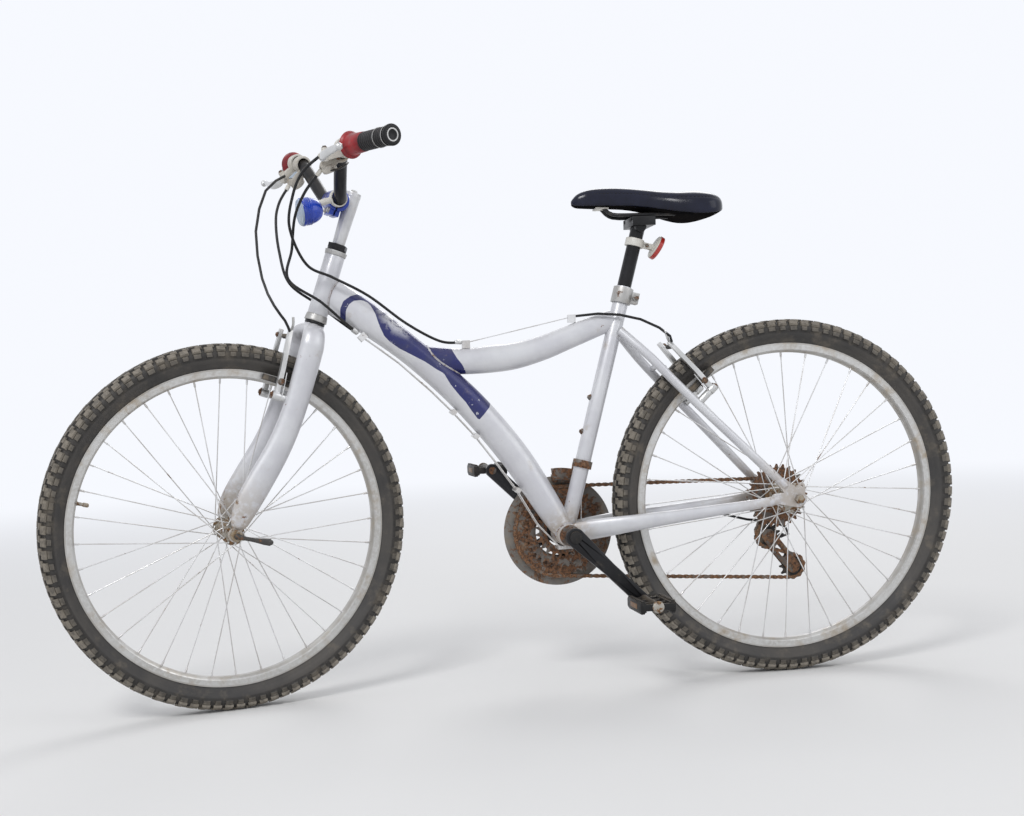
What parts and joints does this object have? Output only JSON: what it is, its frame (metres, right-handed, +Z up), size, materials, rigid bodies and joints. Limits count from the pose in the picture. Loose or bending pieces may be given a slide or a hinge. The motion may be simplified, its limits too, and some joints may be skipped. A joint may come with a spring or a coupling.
{
  "type": "mountain bicycle",
  "caption": "Old mountain bicycle with a curved frame, rigid fork, rim brakes, worn saddle and rusty drivetrain. The steering, wheels, cranks, pedals and freewheel turn.",
  "frame": {"origin": "top of the saddle on the centre plane, where the rider sits, above and ahead of the rear axle", "axes": "+X forward, +Y to the rider's left, +Z up with the bicycle upright"},
  "size_m": [1.6892, 0.5808, 1.0211],
  "materials": {
    "silver_paint": "worn satin paint",
    "worn_alloy": "dulled and grimy",
    "spoke_steel": "dull",
    "black_paint": "scuffed gloss",
    "black_vinyl": "shiny and worn",
    "red_plastic": "faded",
    "rusty_steel": "rusted",
    "black_rubber": "perished",
    "black_plastic": "dusty",
    "blue_plastic": "scratched",
    "clear_lens": "hazed",
    "tyre_rubber": "dusty"
  },
  "bodies": {
    "frame": {"head_tube": "silver_paint", "down_tube": "silver_paint", "top_tube": "silver_paint", "seat_tube": "silver_paint", "bottom_bracket_shell": "silver_paint", "chainstays": "silver_paint", "seatstays": "silver_paint", "rear_dropouts": "silver_paint", "seat_clamp": "worn_alloy", "seat_post": "black_paint", "saddle": "black_vinyl", "saddle_rails": "worn_alloy", "tail_reflector": "red_plastic", "headset_cups": "worn_alloy", "bottom_bracket_cups": "rusty_steel", "rear_axle": "worn_alloy", "rear_brake_arms": "worn_alloy", "rear_brake_pads": "black_rubber", "front_derailleur": "rusty_steel", "rear_derailleur": "rusty_steel", "derailleur_pulleys": "black_plastic", "chain": "rusty_steel", "frame_cables": "black_plastic", "rear_brake_housing": "black_plastic", "brake_front_housing": "black_plastic", "gear_front_housings": "black_plastic"},
    "fork": {"fork_steerer": "worn_alloy", "fork_crown": "silver_paint", "fork_blades": "silver_paint", "fork_dropouts": "silver_paint", "headset_nuts": "worn_alloy", "stem": "worn_alloy", "stem_clamp": "blue_plastic", "handlebar": "black_paint", "grips": "black_rubber", "brake_levers": "worn_alloy", "shifters": "worn_alloy", "lamp": "blue_plastic", "lamp_lens": "clear_lens", "front_brake_arms": "worn_alloy", "front_brake_pads": "black_rubber", "front_axle": "worn_alloy", "front_brake_cable": "black_plastic"},
    "front_wheel": {"front_tyre": "tyre_rubber", "front_rim": "worn_alloy", "front_spokes": "spoke_steel", "front_hub": "worn_alloy"},
    "rear_wheel": {"rear_tyre": "tyre_rubber", "rear_rim": "worn_alloy", "rear_spokes": "spoke_steel", "rear_hub": "worn_alloy"},
    "freewheel": {"freewheel": "rusty_steel"},
    "crankset": {"crank_spindle": "rusty_steel", "left_crank_arm": "black_paint", "right_crank_arm": "black_paint", "chainrings": "rusty_steel", "chain_guard": "worn_alloy", "pedal_axles": "rusty_steel"},
    "left_pedal": {"left_pedal": "black_plastic"},
    "right_pedal": {"right_pedal": "black_plastic"}
  },
  "joints": [
    {"name": "steering", "type": "hinge", "parent": "frame", "child": "fork", "pos_m": [0.78358, 0, -0.5775], "axis": [-0.3453, 0, 0.9385], "range_deg": [-60, 30], "deforming": ["brake_front_housing", "gear_front_housings"]},
    {"name": "front_wheel_spin", "type": "hinge", "parent": "fork", "child": "front_wheel", "pos_m": [0.82166, 0.01087, -0.56349], "axis": [-0.2429, 0.9659, -0.0894], "continuous": true},
    {"name": "rear_wheel_spin", "type": "hinge", "parent": "frame", "child": "rear_wheel", "pos_m": [-0.215, 0, -0.563], "axis": [0, 1, 0], "continuous": true},
    {"name": "crank_spin", "type": "hinge", "parent": "frame", "child": "crankset", "pos_m": [0.206, 0, -0.608], "axis": [0, 1, 0], "continuous": true},
    {"name": "freewheel_spin", "type": "hinge", "parent": "frame", "child": "freewheel", "pos_m": [-0.215, 0, -0.563], "axis": [0, 1, 0], "continuous": true},
    {"name": "left_pedal_spin", "type": "hinge", "parent": "crankset", "child": "left_pedal", "pos_m": [0.08579, 0.086, -0.72821], "axis": [0, 1, 0], "continuous": true},
    {"name": "right_pedal_spin", "type": "hinge", "parent": "crankset", "child": "right_pedal", "pos_m": [0.32621, -0.086, -0.48779], "axis": [0, 1, 0], "continuous": true}
  ],
  "couplings": [
    {"joint": "freewheel_spin", "follows": "crank_spin", "ratio": 2.625}
  ]
}
